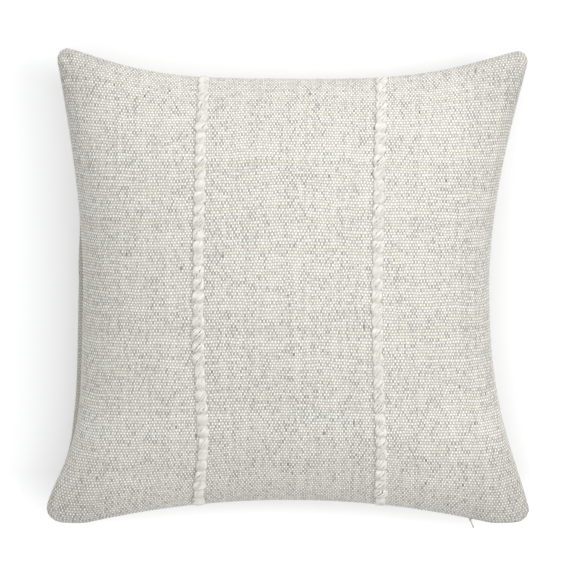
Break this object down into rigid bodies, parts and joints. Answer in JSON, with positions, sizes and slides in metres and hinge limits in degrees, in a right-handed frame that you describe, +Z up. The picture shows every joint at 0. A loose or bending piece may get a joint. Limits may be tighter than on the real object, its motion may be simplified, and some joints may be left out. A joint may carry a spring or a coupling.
{
  "type": "throw pillow",
  "caption": "Square throw pillow lying on its back: zipped handwoven cover with raised bundles of roving running across its front, around a separate filled insert.",
  "frame": {"origin": "middle of the flat patch that the back rests on", "axes": "+X along the zipped edge, from the left to the right of the front; +Y from the zipped edge to the far one; +Z up, out of the front"},
  "size_m": [0.5, 0.4979, 0.165],
  "materials": {
    "woven_cloth": "matt heathered off-white plain weave",
    "roving": "soft matt off-white loose yarns",
    "sewing_thread": "matt greige thread",
    "label_tape": "smooth white tape, blank",
    "zip_tape": "matt greige tape",
    "zip_nylon": "satin nylon coil",
    "zip_metal": "greige enamel",
    "insert_cotton": "tight white downproof cotton",
    "filling_fibre": "loose white filling"
  },
  "bodies": {
    "pillow": {"cover_front_panel": "woven_cloth", "cover_back_panel": "woven_cloth", "roving_stripe_left": "roving", "roving_stripe_right": "roving", "seam_thread": "sewing_thread", "overlock_thread_front": "sewing_thread", "overlock_thread_back": "sewing_thread", "care_label": "label_tape", "zip_tape_front": "zip_tape", "zip_tape_back": "zip_tape", "zip_coil_front": "zip_nylon", "zip_coil_back": "zip_nylon", "zip_top_stop_front": "zip_metal", "zip_top_stop_back": "zip_metal", "zip_bottom_stop": "zip_metal", "zip_thread_front": "sewing_thread", "zip_thread_back": "sewing_thread", "insert_casing_front": "insert_cotton", "insert_casing_back": "insert_cotton", "insert_seam_thread": "sewing_thread", "insert_filling": "filling_fibre"},
    "slider": {"zip_slider": "zip_metal"},
    "pull": {"zip_pull": "zip_metal"}
  },
  "joints": [
    {"name": "zip_travel", "type": "hinge", "parent": "pillow", "child": "slider", "pos_m": [0, -1.16075, 0.072], "axis": [0, 0, 1], "range_deg": [0, 23.2]},
    {"name": "pull_swing", "type": "hinge", "parent": "slider", "child": "pull", "pos_m": [0.18891, -0.24345, 0.072], "axis": [0, 0, 1], "range_deg": [-118, 49]}
  ]
}
